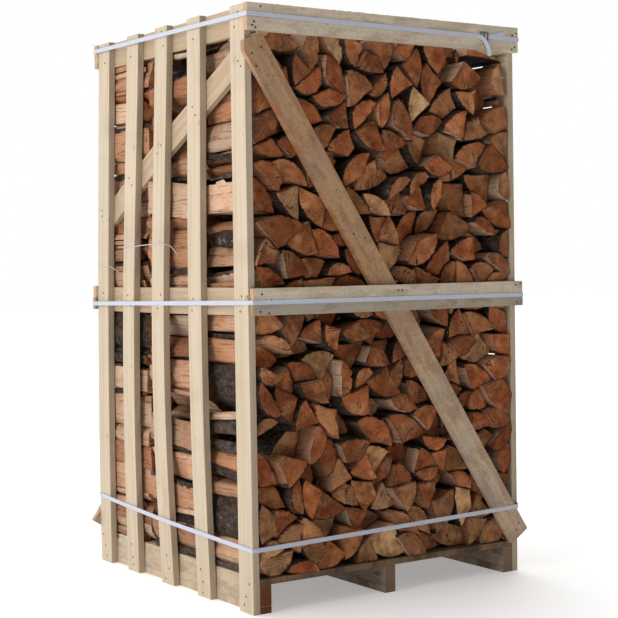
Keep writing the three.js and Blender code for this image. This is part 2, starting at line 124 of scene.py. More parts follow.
class Look:
    """A node tree, and short calls that add nodes to it."""

    def __init__(self, owner, shader):
        owner.use_nodes = True
        self.owner, self.tree = owner, owner.node_tree
        self.shader = self.tree.nodes[shader]
        self.colour = (1.0, 1.0, 1.0)

    def set(self, node, inputs):
        for name, value in inputs.items():
            target = node.inputs[name]
            if isinstance(value, tuple) and any(isinstance(part, Value) for part in value):
                value = self.add("CombineXYZ", dict(enumerate(value)))
            if isinstance(value, Value):
                self.tree.links.new(value.socket, target)
            elif isinstance(value, tuple) and target.type == "RGBA":
                target.default_value = (*value, 1)
            else:
                target.default_value = value

    def node(self, kind, inputs, **settings):
        node = self.tree.nodes.new("ShaderNode" + kind)
        for key, value in settings.items():
            setattr(node, key, value)
        self.set(node, inputs)
        return node

    def add(self, kind, inputs, output=0, **settings):
        return Value(self, self.node(kind, inputs, **settings).outputs[output])

    def place(self):
        return self.add("TexCoord", {}, "Object")

    def noise(self, vector, scale=1.0, detail=3.0, roughness=0.5, output=0):
        inputs = {"Vector": vector, "Scale": scale, "Detail": detail, "Roughness": roughness}
        return self.add("TexNoise", inputs, output)

    def mix(self, share, a, b):
        return self.add("Mix", {0: share, 6: a, 7: b}, 2, data_type="RGBA")

    def ramp(self, value, stops):
        node = self.node("ValToRGB", {0: value})
        elements = node.color_ramp.elements
        while len(elements) < len(stops):
            elements.new(0.5)
        for element, (at, colour) in zip(elements, stops):
            element.position = at
            element.color = (*colour, 1)
        return Value(self, node.outputs[0])

    def lay(self, field, low, high, most, tone):
        """Covers the colour so far with a tone, more and more as a field goes from low to high."""
        self.colour = self.mix(field.span(low, high, 0.0, most), self.colour, tone)

    def shade(self, field, low, high, most, tint):
        self.lay(field, low, high, most, self.colour * tint)

    def show(self, height=None, depth=0.0):
        """Gives the shader its colour, and its bumps from a height."""
        self.set(self.shader, {"Base Color": self.colour})
        if height is not None:
            bump = self.add("Bump", {"Height": height, "Distance": depth, "Strength": 1.0})
            self.set(self.shader, {"Normal": bump})


def finish(name, roughness, specular=0.5, metallic=0.0):
    look = Look(bpy.data.materials.new(name), "Principled BSDF")
    look.set(look.shader, {"Roughness": roughness, "Specular IOR Level": specular, "Metallic": metallic})
    return look


def speckled(name, roughness, scale, detail, dark, light, metallic=0.0):
    look = finish(name, roughness, metallic=metallic)
    look.colour = look.mix(look.noise(look.place(), scale, detail), dark, light)
    look.show()
    return look.owner


# ---- camera, light and floor
CAMERA_AT = Vector((-3.0558, -4.6291, 1.1735))
CAMERA_TURNS = (("Z", -33.701), ("X", 90 - 2.024), ("Z", -0.868))  # yaw, pitch and roll in degrees
CAMERA_LENS = 85.305  # on a 36 mm sensor
LAMP_AT, LAMP_AIM = Vector((-5.2, -0.8, 3.0)), Vector((-0.2, 0.2, 1.0))
LAMP_WIDE = 3.0
LAMP_WATTS = 128
LAMP_COLOUR = (1.0, 0.97, 0.92)
WORLD_FRONT = (0.242, 0.236, 0.229)  # light on the front, from behind the camera
WORLD_BACK = (1.0, 1.0, 1.0)
WORLD_LIFT = 1.6  # more light from above, behind the crate
FLOOR_HALF = 30
FLOOR_COLOUR = (0.92, 0.92, 0.92)
FLOOR_GLOW = 0.30  # a lit floor, as in a product studio


def make_camera():
    data = bpy.data.cameras.new("camera")
    data.lens, data.sensor_width = CAMERA_LENS, 36
    data.clip_start, data.clip_end = 0.1, 100
    camera = put("camera", data)
    turn = Matrix.Identity(3)
    for axis, angle in CAMERA_TURNS:
        turn = turn @ Matrix.Rotation(math.radians(angle), 3, axis)
    camera.matrix_world = Matrix.Translation(CAMERA_AT) @ turn.to_4x4()
    bpy.context.scene.camera = camera


def make_lamp():
    data = bpy.data.lights.new("key", "AREA")
    data.shape, data.size = "SQUARE", LAMP_WIDE
    data.energy, data.color = LAMP_WATTS, LAMP_COLOUR
    lamp = put("key", data)
    lamp.location = LAMP_AT
    lamp.rotation_euler = (LAMP_AIM - LAMP_AT).to_track_quat("-Z", "Y").to_euler()


def make_world():
    """Soft light: dim from in front of the crate, bright behind it and brighter still overhead there."""
    look = Look(bpy.data.worlds.new("studio"), "Background")
    way = look.add("TexCoord", {}, "Generated").split()
    behind = way[1].span(-0.2, 0.6)
    above = way[2].span(0.2, 0.7, 0.0, WORLD_LIFT)
    look.set(look.shader, {"Color": look.mix(behind, WORLD_FRONT, WORLD_BACK),
                           "Strength": behind * above + 1.0})
    bpy.context.scene.world = look.owner


def make_stage():
    look = finish("floor_paint", 0.7)
    look.colour = FLOOR_COLOUR
    look.show()
    look.set(look.shader, {"Emission Color": (1.0, 1.0, 1.0), "Emission Strength": FLOOR_GLOW})
    corners = [(x * FLOOR_HALF, y * FLOOR_HALF, 0) for x, y in ((-1, -1), (1, -1), (1, 1), (-1, 1))]
    floor = put_mesh("floor", corners, [(0, 1, 2, 3)], look.owner)


make_camera()
make_world()
make_lamp()
make_stage()
bpy.context.scene.view_settings.view_transform = "Standard"


# ---- sawn timber
# tones of one kind of sawn board, in linear light, and how grey it has gone
Timber = namedtuple("Timber", "early late end knot stain grey")
PALE = Timber((0.57, 0.48, 0.365), (0.48, 0.38, 0.265), (0.44, 0.27, 0.14),
              (0.33, 0.20, 0.12), (0.47, 0.36, 0.26), 0.16)
INNER_PALE = Timber((0.56, 0.435, 0.305), (0.47, 0.335, 0.21), (0.44, 0.27, 0.14),
                    (0.33, 0.19, 0.11), (0.42, 0.29, 0.195), 0.12)
WEATHERED = Timber((0.62, 0.53, 0.415), (0.49, 0.38, 0.265), (0.52, 0.32, 0.17),
                   (0.24, 0.15, 0.09), (0.42, 0.32, 0.225), 0.35)
FRONT_BRACE = Timber((0.57, 0.435, 0.295), (0.42, 0.275, 0.165), (0.42, 0.24, 0.12),
                     (0.20, 0.115, 0.065), (0.27, 0.15, 0.085), 0.40)
RUNNER = Timber((0.46, 0.375, 0.28), (0.27, 0.20, 0.135), (0.30, 0.19, 0.12),
                (0.12, 0.08, 0.05), (0.18, 0.115, 0.075), 0.5)
RED_ENDED = Timber((0.56, 0.45, 0.33), (0.46, 0.34, 0.225), (0.13, 0.042, 0.017),
                   (0.26, 0.15, 0.09), (0.40, 0.28, 0.185), 0.2)
DECK_EDGE = Timber((0.34, 0.215, 0.125), (0.20, 0.105, 0.052), (0.30, 0.16, 0.08),
                   (0.05, 0.03, 0.02), (0.10, 0.052, 0.028), 0.3)
SMOOTH = (PALE, INNER_PALE)  # planed boards; the others show stains and nicks
EDGE_TONE_AND_SHADE = (0.80, 0.77, 0.73)  # the slats' narrow edges are darker and browner than their faces: partly their own sawn tone, partly painted shade
BRACE_HEAD = (0.80, 0.65, 0.52)  # the upper half of a face brace is browner than its lower half
WANE = (0.45, 0.19, 0.075)  # inner bark left along one edge of a face brace
WANE_WIDE = 0.013
KNOT_SIZES = (0.006, 0.013)
GRAIN, FIBRE = 62.0, 520.0  # bands to a metre across a board


def knot_marks(s, t, knots):
    """(how dark a board is, how far its grain is pushed aside) round its knots."""
    spots, push = 0.0, 0.0
    for knot_s, knot_t, radius in knots:
        ds, dt = (s - knot_s) / (radius * 1.35), (t - knot_t) / radius
        squared = ds * ds + dt * dt
        distance = squared.sum("SQRT")
        rings = (distance * 11.0).sum("SINE").span(-1.2, 0.6, 0.35, 1.0)
        spots = (distance.span(0.25, 1.15, 1.0, 0.0) * rings).sum("MAXIMUM", spots)
        push = dt / (squared + 1.2) * radius * 0.9 + push
    return spots, push


def board_finish(name, timber, along, across, knots, seed, wane, level):
    """Grain runs along one unit vector, and knots are (along, across, radius) in metres."""
    look = finish(name, 0.78, 0.25)
    shift = [float(v) for v in np.random.default_rng(seed).uniform(-9, 9, 3)]
    point = look.place()
    s, t, q = (point.dot(way) for way in (along, across, along.cross(across)))
    height = point.dot(UP)
    spots, push = knot_marks(s, t, knots)
    bent = look.noise((s, t + shift[0], q), 2.2, 2) * 0.022 + t - push
    grain = look.noise((s * 1.1 + shift[1], bent * GRAIN, q * GRAIN), 1.0, 3, 0.55)
    fibre = look.noise((s * 9.0, bent * FIBRE, q * FIBRE + shift[2]), 1.0, 2, 0.6)
    blotch = look.noise((s * 3.2 + shift[2], t, q), 2.6, 3)
    look.colour = timber.early
    look.lay(grain, 0.38, 0.68, 0.75 if timber in SMOOTH else 0.5, timber.late)
    if timber not in SMOOTH:
        patches = look.noise((s * 9.0 + shift[0], t * 26.0, q), 1.0, 5, 0.68)
        look.lay(patches, 0.46, 0.64, 0.55 if timber is FRONT_BRACE else 0.9, timber.stain)
        nicks = look.noise((s * 190.0, t * 48.0, q + shift[1]), 1.0, 2, 0.6)
        look.lay(nicks, 0.54, 0.70, 0.7, timber.stain)
    look.lay(fibre, 0.45, 0.75, 0.35, timber.late)
    look.lay(blotch, 0.52, 0.72, 0.45, timber.stain)
    grey = look.noise(point + tuple(shift), 5.0, 4, 0.6)
    look.lay(grey, 0.4, 0.75, timber.grey, (sum(timber.late) * 0.35,) * 3)
    if wane is not None:
        frayed = look.noise((s * 20.0, t, shift[1]), 1.0, 5, 0.7).span(0.35, 0.65)
        depth = frayed * (-1.8 * WANE_WIDE) + abs(t - wane)
        look.lay(depth, 0.1 * WANE_WIDE, -0.9 * WANE_WIDE, height.span(0.9, 1.3, 0.0, 0.85), WANE)
    if knots:
        look.colour = look.mix(spots * 0.55, look.colour, timber.knot)
    normal = look.add("NewGeometry", {}, "True Normal")
    look.lay(abs(normal.dot(along)), 0.8, 0.95, 1.0, timber.end)
    if timber is PALE:
        # the slats' narrow edges darkened: partly their browner sawn tone, partly painted shade
        look.shade(abs(normal.dot(across)), 0.7, 0.9, 0.8, EDGE_TONE_AND_SHADE)
    if wane is not None:
        look.shade(height, 0.45, 1.15, 1.0, BRACE_HEAD)
    look.colour = look.colour * (level, level, level)
    saw = look.noise((s * 330.0, t * 14.0, q * 14.0), 1.0, 1, 0.5)
    look.show(saw * 0.45 + fibre * 0.8, 0.0011)
    return look.owner


def board_axes(name):
    """(grain direction, direction across the wide face) of a CAD board, from its corners."""
    points = corners_of(name)
    vectors = np.linalg.eigh(np.cov((points - points.mean(0)).T))[1]
    ways = Vector(vectors[:, 2]), Vector(vectors[:, 1])
    return [way if max(way, key=abs) > 0 else -way for way in ways]


def board_knots(name, along, across, count, rng, fixed):
    """Seeded knots on a board, and fixed ones given as shares of its length and width."""
    flat = corners_of(name) @ np.array((along, across)).T
    shares = [*fixed, *(rng.uniform(0.05, 0.95, 2) for _ in range(count))]
    sizes = rng.uniform(*KNOT_SIZES, len(shares))
    low, high = flat.min(0), flat.max(0)
    places = [low + (high - low) * np.array(share) for share in shares]
    return [(float(at[0]), float(at[1]), float(size)) for at, size in zip(places, sizes)]


def finish_board(name, timber, knot_count, seed, level=1.0, fixed=()):
    along, across = board_axes(name)
    knots = board_knots(name, along, across, knot_count, np.random.default_rng(seed), fixed)
    wane = float((corners_of(name) @ np.array(across)).min()) if timber is FRONT_BRACE else None
    material = board_finish(name + "_wood", timber, along, across, knots, seed, wane, level)
    set_finish(NODES[name], material)
    ease_edges(NODES[name])


def set_finish(piece, material):
    if not piece.material_slots:
        piece.data.materials.append(material)
    for slot in piece.material_slots:
        slot.material = material


def ease_edges(piece):
    """Sawn edges, a little worn."""
    piece.modifiers.new("weld", "WELD").merge_threshold = 0.00005
    bevel = piece.modifiers.new("bevel", "BEVEL")
    bevel.width, bevel.segments, bevel.limit_method = 0.0012, 2, "ANGLE"
    bevel.angle_limit = math.radians(40)


FIXED_KNOTS = {  # as shares of the board's length and width
    "front_brace": [(0.30, 0.55), (0.77, 0.35)],
    "front_top_lath_lower": [(0.27, 0.9)],
}
INNER_LEVEL = 0.87  # brightness of the boards inside the side slats
SHADED_LEVEL = 0.66  # of the lower middle laths
BASE_LEVEL = 0.68  # of the pallet base
for index, name in enumerate(sorted(NODES)):
    if "slat" in name:
        finish_board(name, PALE, 2, 100 + index)
    elif name.startswith(("left_", "right_")) and ("rail" in name or "brace" in name):
        finish_board(name, INNER_PALE, 1, 100 + index, INNER_LEVEL)
    elif "lath" in name or "brace" in name:
        timber = FRONT_BRACE if "brace" in name else WEATHERED
        level = SHADED_LEVEL if name.endswith("middle_lath_lower") else 1.0
        finish_board(name, timber, 0, 200 + index, level, FIXED_KNOTS.get(name, ()))
    elif name in ("left_skid", "left_stringer"):
        finish_board(name, RED_ENDED, 1, 300 + index)
    elif "skid" in name or "stringer" in name or "deck" in name:
        edge_board = name in ("deck_board_1", f"deck_board_{DECK_COUNT}")
        finish_board(name, DECK_EDGE if edge_board else RUNNER, 2, 300 + index, BASE_LEVEL)


# ---- straps, twine and buckle
def strap_finish():
    look = finish("strap_weave", 0.42)
    weave = look.noise(look.place() * (260.0, 260.0, 1500.0), 1.0, 2)
    look.colour = look.mix(weave.span(0.35, 0.7), (0.44, 0.47, 0.56), (0.56, 0.59, 0.69))
    look.show(weave, 0.0004)
    return look.owner


WEAVE = strap_finish()
WIRE = speckled("buckle_wire", 0.45, 160, 3, (0.06, 0.06, 0.065), (0.16, 0.16, 0.17), metallic=0.85)
for name in ("strap_top", "strap_middle", "strap_bottom", "twine_middle", "twine_rear"):
    set_finish(NODES[name], WEAVE)
set_finish(NODES["strap_buckle"], WIRE)


# ---- nail heads, splinters and a wire loop
NAIL_RADIUS = 0.0040
NAIL_PROUD = 0.0006
NAILS = {  # at a lath's low and high end: distance from the end in metres, share of its height
    "top_lath_upper": (((0.040, 0.30), (0.052, 0.75)), ((0.008, 0.54), (0.027, 0.35))),
    "top_lath_lower": (((0.028, 0.62), (0.021, 0.35), (0.033, 0.20)), ((0.015, 0.43), (0.030, 0.20))),
    "middle_lath_upper": (((0.032, 0.56), (0.066, 0.12)), ((0.032, 0.70), (0.010, 0.80))),
    "middle_lath_lower": (((0.027, 0.30), (0.060, 0.16)), ((0.012, 0.75), (0.030, 0.30))),
}
BRACE_NAILS = (  # distance from the middle along the grain, and from the grain's middle line
    (1.004, 0.022), (1.004, -0.020), (0.962, -0.030), (0.30, -0.012), (0.262, 0.020),
    (-0.995, 0.010), (-1.008, -0.012))
CROSSING = (0.02, 1.055)  # (x, z) of the place where the brace crosses the middle rail
LOOP_AT = Vector((-0.5768, -0.5475, 1.046))
LOOP_HALF, LOOP_LEGS, LOOP_RADIUS = 0.0055, 0.012, 0.00075  # half width, legs' height, wire


class Trim:
    """Small pieces gathered into one mesh."""

    def __init__(self):
        self.points, self.faces = [], []

    def tube(self, rings, sides):
        """A closed tube through rings, each given by its centre, turn and radius."""
        base = len(self.points)
        last = base + (len(rings) - 1) * sides
        for centre, turn, radius in rings:
            for k in range(sides):
                angle = 2 * math.pi * k / sides
                self.points.append(centre + turn @ Vector((math.cos(angle), math.sin(angle), 0)) * radius)
        self.faces += [[base + k for k in reversed(range(sides))], [last + k for k in range(sides)]]
        for start in range(base, last, sides):
            for k in range(sides):
                after = (k + 1) % sides
                self.faces.append([start + k, start + after, start + sides + after, start + sides + k])

    def nail(self, node, start, way):
        """A nail driven into a board, from a point outside it."""
        hit, at, normal, _ = NODES[node].ray_cast(Vector(start), Vector(way))
        if hit:
            turn = normal.to_track_quat("Z", "X")
            head = at + turn @ Vector((0, 0, NAIL_PROUD))
            self.tube([(at, turn, NAIL_RADIUS), (head, turn, 0.8 * NAIL_RADIUS)], 10)

    def tear(self, rng, root, way, lengths, most_lift):
        """A torn fibre: a thin spike that lies along a top edge and lifts off it."""
        along = Vector((*way, 0)).normalized()
        length, lift = rng.uniform(*lengths), rng.uniform(0.0008, most_lift)
        side = along.cross(UP).normalized() * rng.uniform(0.0008, 0.002) / 2
        base = len(self.points)
        self.points += [root - side, root + side, root + along * length * 0.55 - UP * 0.0006]
        self.points.append(root + along * length + UP * lift)
        self.faces += [[base, base + 2, base + 1], [base, base + 1, base + 3],
                       [base + 1, base + 2, base + 3], [base + 2, base, base + 3]]

    def build(self, name, material, slot):
        piece = put_mesh(name, self.points, self.faces, material)
        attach(piece, "root")


def slat_edge(name, z, pick):
    """y of a slat's front edge (pick = min) or rear edge (max) at height z."""
    points = corners_of(name)
    foot = pick(points[points[:, 2] < 0.01][:, 1])
    head = pick(points[points[:, 2] > TOP - 0.01][:, 1])
    return foot + (head - foot) * z / TOP


def side_nails(trim, side, sign, rng):
    middle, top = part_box(f"{side}_middle_rail"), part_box(f"{side}_top_rail")
    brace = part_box(f"{side}_brace")
    for i in range(SLAT_COUNT):
        name = f"{side}_slat_{i + 1}"
        y_share = (slat_edge(name, 1.6, np.min) - brace[0].y) / (brace[1].y - brace[0].y)
        rise = brace[1].z - 0.06 + (brace[0].z - brace[1].z + 0.12) * (y_share + 0.05)
        heights = [0.022, 0.058, 0.102, rise, rise - 0.03]
        heights += [middle[0].z + 0.025, middle[0].z + 0.066, top[0].z + 0.02, top[0].z + 0.07]
        for z in heights:
            y = slat_edge(name, z, np.min) + rng.uniform(0.022, 0.068)
            trim.nail(name, (sign, y, z + rng.uniform(-0.006, 0.006)), (-sign, 0, 0))


def face_nails(trim, side, sign):
    """Nails of the front or back boards."""
    way = (0, -sign, 0)
    for board, ends in NAILS.items():
        low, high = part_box(f"{side}_{board}")
        for end, places in zip((low.x, high.x)[::-sign], ends):
            inward = 1 if end < 0 else -1
            for along, share in places:
                z = low.z + share * (high.z - low.z)
                trim.nail(f"{side}_{board}", (end + inward * along, sign, z), way)
    low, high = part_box(f"{side}_brace")
    along = board_axes(f"{side}_brace")[0]
    along = along if along.z > 0 else -along
    across = Vector((along.z, 0, -along.x))
    for up, aside in BRACE_NAILS:
        at = (low + high) / 2 + along * up + across * aside
        trim.nail(f"{side}_brace", (at.x, sign, at.z), way)
    for aside in (0.0, 0.018):
        trim.nail(f"{side}_middle_lath_upper", (CROSSING[0] + aside * sign, sign, CROSSING[1]), way)


def splinters():
    trim, rng = Trim(), np.random.default_rng(6)
    for side in ("front", "back"):
        low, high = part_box(f"{side}_top_lath_upper")
        for _ in range(70):
            x, y = rng.uniform(low.x, high.x), low.y + rng.uniform(0.0, 0.012)
            if side == "back":
                y = high.y - rng.uniform(0.0, 0.012)
            way = rng.choice((-1, 1)), rng.uniform(-0.2, 0.2)
            trim.tear(rng, Vector((x, y, high.z)), way, (0.006, 0.026), 0.0032)
    for side, middle in (("left", LEFT - 0.0125), ("right", RIGHT + 0.0125)):
        for i in range(SLAT_COUNT):
            name = f"{side}_slat_{i + 1}"
            edge, top = slat_edge(name, TOP, np.min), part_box(name)[1].z
            for _ in range(9):
                x, y = middle + rng.uniform(-0.011, 0.011), edge + rng.uniform(0.004, 0.086)
                way = rng.uniform(-0.3, 0.3), rng.choice((-1, 1))
                trim.tear(rng, Vector((x, y, top)), way, (0.004, 0.012), 0.0028)
    look = speckled("torn_fibre", 0.8, 90, 2, (0.55, 0.42, 0.28), (0.74, 0.66, 0.54))
    trim.build("splinters", look, "weathered_pine")


def nail_heads():
    trim, rng = Trim(), np.random.default_rng(5)
    for side, sign in (("left", -1), ("right", 1)):
        side_nails(trim, side, sign, rng)
    for side, sign in (("front", -1), ("back", 1)):
        face_nails(trim, side, sign)
    look = speckled("nail_rust", 0.7, 300, 2, (0.020, 0.014, 0.011), (0.055, 0.035, 0.026))
    trim.build("nail_heads", look, "buckle_wire")


def wire_loop():
    """The loop of a staple left in the first slat, above the middle rail."""
    turns = [math.pi * k / 8 for k in range(9)]
    bend = [LOOP_AT + Vector((0, -math.cos(t), math.sin(t))) * LOOP_HALF for t in turns]
    stops = [bend[0] - UP * LOOP_LEGS, *bend, bend[-1] + Vector((0, 0.003, -LOOP_LEGS))]
    ways = [after - before for before, after in zip([stops[0], *stops], [*stops[1:], stops[-1]])]
    trim = Trim()
    trim.tube([(at, way.to_track_quat("Z", "X"), LOOP_RADIUS) for at, way in zip(stops, ways)], 6)
    trim.build("wire_loop", WIRE, "buckle_wire")


nail_heads()
splinters()
wire_loop()


# ---- outlines of split logs
SIDES = 9  # corners of an outline: the bark side's arc first, then two inner ones
ARC_EDGES = SIDES - 3
LOG_KINDS = (  # share, sector angle in degrees, trunk radius, depth of the inner corners
    (0.44, (60, 96), (0.100, 0.128), (0.095, 0.124)),
    (0.22, (96, 138), (0.076, 0.098), (0.060, 0.094)),
    (0.13, (150, 172), (0.057, 0.071), (0.030, 0.055)),
    (0.21, (44, 62), (0.125, 0.162), (0.066, 0.094)),
)
LYING = 0.75  # share of logs that lie with their bark up or down
LYING_TURN = 0.45  # and how far from that they turn, in radians


def cross2(a, b):
    return a[..., 0] * b[..., 1] - a[..., 1] * b[..., 0]


def centre_of(points):
    following = np.roll(points, -1, 0)
    twice = cross2(points, following)
    area = twice.sum() / 2
    return ((points + following) * twice[:, None]).sum(0) / (6 * area), area


def split_log(rng):
    """(outline about its centre, pith's place in it, skew): a sector split from a trunk."""
    shares = np.cumsum([kind[0] for kind in LOG_KINDS])
    kind = LOG_KINDS[int(np.searchsorted(shares, rng.random() * shares[-1]))]
    half = np.radians(rng.uniform(*kind[1])) / 2
    radius = rng.uniform(*kind[2])
    inner = np.maximum(radius - rng.uniform(*kind[3], 2), 0.004)
    turn = np.linspace(-half, half, SIDES - 2)
    arc = radius * np.stack([np.cos(turn), np.sin(turn)], 1)
    ends = np.array([[np.cos(half), np.sin(half)], [np.cos(half), -np.sin(half)]])
    skew = np.array([[rng.uniform(0.88, 1.1), rng.uniform(-0.16, 0.16)],
                     [rng.uniform(-0.1, 0.1), rng.uniform(0.9, 1.14)]])
    points = np.concatenate([arc, ends * inner[:, None]]) @ skew.T
    middle, area = centre_of(points)
    return points - middle, -middle, np.linalg.inv(skew), area


# ---- settling the outlines in a bay
PUSH = 0.42  # share of an overlap that one pass takes away
WALL_PUSH = PUSH * 1.4
NEAR = 0.004  # pairs this much apart or less are tested
SETTLE_STEPS = 420
FALL = 0.0012  # how far a log drops in the first step
SHAKE, SHAKE_TURN = 0.0012, 0.02
CALM_FROM = 0.45  # share of the steps after which nothing shakes


def rotate(points, angle):
    c, s = np.cos(angle), np.sin(angle)
    x, y = points[..., 0], points[..., 1]
    return np.stack([x * c - y * s, x * s + y * c], -1)


def turned(local, place, angle):
    return rotate(local, angle[:, None]) + place[:, None]


class Heap:
    """Convex outlines that fall, turn and push each other apart between walls."""

    def __init__(self, local, place, angle, fixed, planes):
        self.local, self.place, self.angle, self.planes = local, place, angle, planes
        self.reach = np.linalg.norm(local, axis=2).max(1)
        self.free = np.where(fixed, 0.0, 1.0)
        self.spin = self.free / (0.45 * self.reach * self.reach)

    def find_pairs(self):
        apart = np.linalg.norm(self.place[:, None] - self.place[None], axis=2)
        near = apart < self.reach[:, None] + self.reach[None] + NEAR
        near &= (self.free[:, None] + self.free[None]) > 0
        self.pairs = np.nonzero(np.triu(near, 1))

    def relax(self):
        outline = turned(self.local, self.place, self.angle)
        edge = np.roll(outline, -1, 1) - outline
        length = np.linalg.norm(edge, axis=-1)
        along = edge / length[..., None]
        normal = np.stack([along[..., 1], -along[..., 0]], -1)
        shift, turn = np.zeros_like(self.place), np.zeros_like(self.angle)
        self.push_pairs(outline, normal, along, length, shift, turn)
        self.push_walls(outline, shift, turn)
        self.place += shift
        self.angle += turn

    def push_pairs(self, outline, normal, along, length, shift, turn):
        first, second = self.pairs
        rows = np.arange(len(first))
        found = []
        for a, b in ((first, second), (second, first)):
            height = np.einsum("mec,mvc->mev", normal[a], outline[b])
            height -= np.einsum("mec,mec->me", normal[a], outline[a])[..., None]
            lowest = height.min(2)
            best = lowest.argmax(1)
            found.append((lowest[rows, best], best, height[rows, best]))
        touching = np.maximum(found[0][0], found[1][0]) < 0
        flip = found[0][0] < found[1][0]
        base = np.where(flip, second, first)[touching]
        other = np.where(flip, first, second)[touching]
        face = np.where(flip, found[1][1], found[0][1])[touching]
        height = np.where(flip[:, None], found[1][2], found[0][2])[touching]
        rows = np.arange(len(base))
        low = height.argmin(1)
        after, before = (low + 1) % SIDES, (low - 1) % SIDES
        next_low = np.where(height[rows, after] < height[rows, before], after, before)
        axis, out, origin = along[base, face], normal[base, face], outline[base, face]
        p, q = outline[other, low], outline[other, next_low]
        p_at, q_at = ((p - origin) * axis).sum(1), ((q - origin) * axis).sum(1)
        p_high, q_high = height[rows, low], height[rows, next_low]
        spread = np.where(np.abs(q_at - p_at) < 1e-9, 1e-9, q_at - p_at)
        for at in (p_at, q_at):
            share = np.clip((np.clip(at, 0, length[base, face]) - p_at) / spread, 0, 1)
            depth = np.maximum(-(p_high + (q_high - p_high) * share), 0)
            point = p + (q - p) * share[:, None]
            arm_base = cross2(point - self.place[base], out)
            arm_other = cross2(point - self.place[other], out)
            weight = self.free[base] + self.free[other]
            weight = weight + arm_base**2 * self.spin[base] + arm_other**2 * self.spin[other]
            push = PUSH * depth / weight
            np.add.at(shift, base, -out * (push * self.free[base])[:, None])
            np.add.at(shift, other, out * (push * self.free[other])[:, None])
            np.add.at(turn, base, -arm_base * push * self.spin[base])
            np.add.at(turn, other, arm_other * push * self.spin[other])

    def push_walls(self, outline, shift, turn):
        rows = np.arange(len(outline))
        for nx, nz, limit in self.planes:  # inside is nx * x + nz * z >= limit
            height = outline @ np.array([nx, nz]) - limit
            lowest = np.argsort(height, axis=1)[:, :2]
            for which in lowest.T:
                depth = np.maximum(-height[rows, which], 0)
                arm = outline[rows, which] - self.place
                arm = arm[:, 0] * nz - arm[:, 1] * nx
                push = WALL_PUSH * depth / (1 + arm * arm * self.spin)
                shift += np.array([nx, nz]) * (push * self.free)[:, None]
                turn += arm * push * self.spin

    def settle(self, rng):
        count = len(self.place)
        for step in range(SETTLE_STEPS):
            share = step / SETTLE_STEPS
            self.place[:, 1] -= FALL * (1 - share) ** 1.5 * self.free
            loose = max(0.0, 1 - share / CALM_FROM)
            self.place += rng.uniform(-SHAKE, SHAKE, (count, 2)) * loose * self.free[:, None]
            self.angle += rng.uniform(-SHAKE_TURN, SHAKE_TURN, count) * loose * self.free
            if step % 4 == 0:
                self.find_pairs()
            for _ in range(3):
                self.relax()


def box_outline(low, high):
    """A box with SIDES corners, so that it can stand among the log outlines."""
    (x0, z0), (x1, z1) = low, high
    corners = np.array([[x0, z0], [x1, z0], [x1, z1], [x0, z1], [x0, z0]])
    share = np.linspace(0, 4, SIDES, endpoint=False)
    whole = share.astype(int)
    return corners[whole] + (corners[whole + 1] - corners[whole]) * (share - whole)[:, None]


# ---- the rows
ROW_NAMES = ("front", "middle", "rear")
SHOWN = {"front": (False,), "middle": (), "rear": (True,)}  # ends that show: False for the front one
FILLED = 0.945  # share of a bay's section that its logs take up
ABREAST = 12  # logs side by side before they settle
SCATTER = 0.012  # of the places they start from
CLEAR = 0.0012  # left free along walls and boards
GRID = 0.004  # cells that free room is measured in
FILL_LEAST = 0.0055  # the least free radius worth a filler
FILL_REACH = 0.045
FILLERS = {"front": 90, "middle": 70, "rear": 130}  # the most in one row
SKY_SLOT = (0.372, 1.846)  # right of this x, the front row stays under this height
SLOT_RIM = 0.05  # logs this near the slot are straight, and leave it open
TOP_SLAB = ((0.366, 1.885), (RIGHT - 0.012, 1.915))  # and one flat piece lies above it


def bay_planes(row):
    """Half planes in (x, z) that bound a row's solid, as (nx, nz, limit)."""
    points = sorted({(round(v.co.x, 5), round(v.co.z, 5)) for v in NODES["log_row_" + row].data.vertices})
    chain = []
    for ordered in (points, points[::-1]):
        half = []
        for point in ordered:
            while len(half) > 1:
                (x0, z0), (x1, z1) = half[-2:]
                if (x1 - x0) * (point[1] - z0) - (z1 - z0) * (point[0] - x0) > 1e-7:
                    break
                half.pop()
            half.append(point)
        chain += half[:-1]
    planes = []
    for (x0, z0), (x1, z1) in zip(chain, chain[1:] + chain[:1]):
        length = math.hypot(x1 - x0, z1 - z0)
        nx, nz = -(z1 - z0) / length, (x1 - x0) / length
        planes.append((nx, nz, nx * x0 + nz * z0 + CLEAR))
    return planes


def side_boards(row):
    """Outlines in (x, z) of the rails and braces that stand in from the slats beside a row."""
    low_y, high_y = (corner.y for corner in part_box("log_row_" + row))
    outlines = []
    for side in ("left", "right"):
        for board in ("middle_rail", "top_rail", "brace"):
            points = corners_of(f"{side}_{board}")
            beside = (points[:, 1] > low_y - 0.12) & (points[:, 1] < high_y + 0.12)
            x = points[beside, 0]
            inner = x.max() if side == "left" else x.min()
            z_low, z_high = points[:, 2].min(), points[:, 2].max()
            if board == "brace":
                z_low, z_high = brace_span(points, low_y, high_y)
            x = (LEFT - 0.05, inner + CLEAR) if side == "left" else (inner - CLEAR, RIGHT + 0.05)
            outlines.append(box_outline((x[0], z_low - CLEAR), (x[1], z_high + CLEAR)))
    if row == "front":
        outlines.append(box_outline(SKY_SLOT, (RIGHT + 0.05, TOP)))
    return outlines


def brace_span(points, low_y, high_y):
    """Lowest and highest z of a side brace between two distances from the front."""
    front, rear = points[:, 1].min(), points[:, 1].max()
    at_front = points[points[:, 1] < front + 0.06][:, 2]
    at_rear = points[points[:, 1] > rear - 0.06][:, 2]
    edges = []
    for pick in (np.min, np.max):
        slope = (pick(at_rear) - pick(at_front)) / (rear - front)
        edges.append([pick(at_front) + slope * (y - front) for y in (low_y, high_y)])
    return min(edges[0]), max(edges[1])


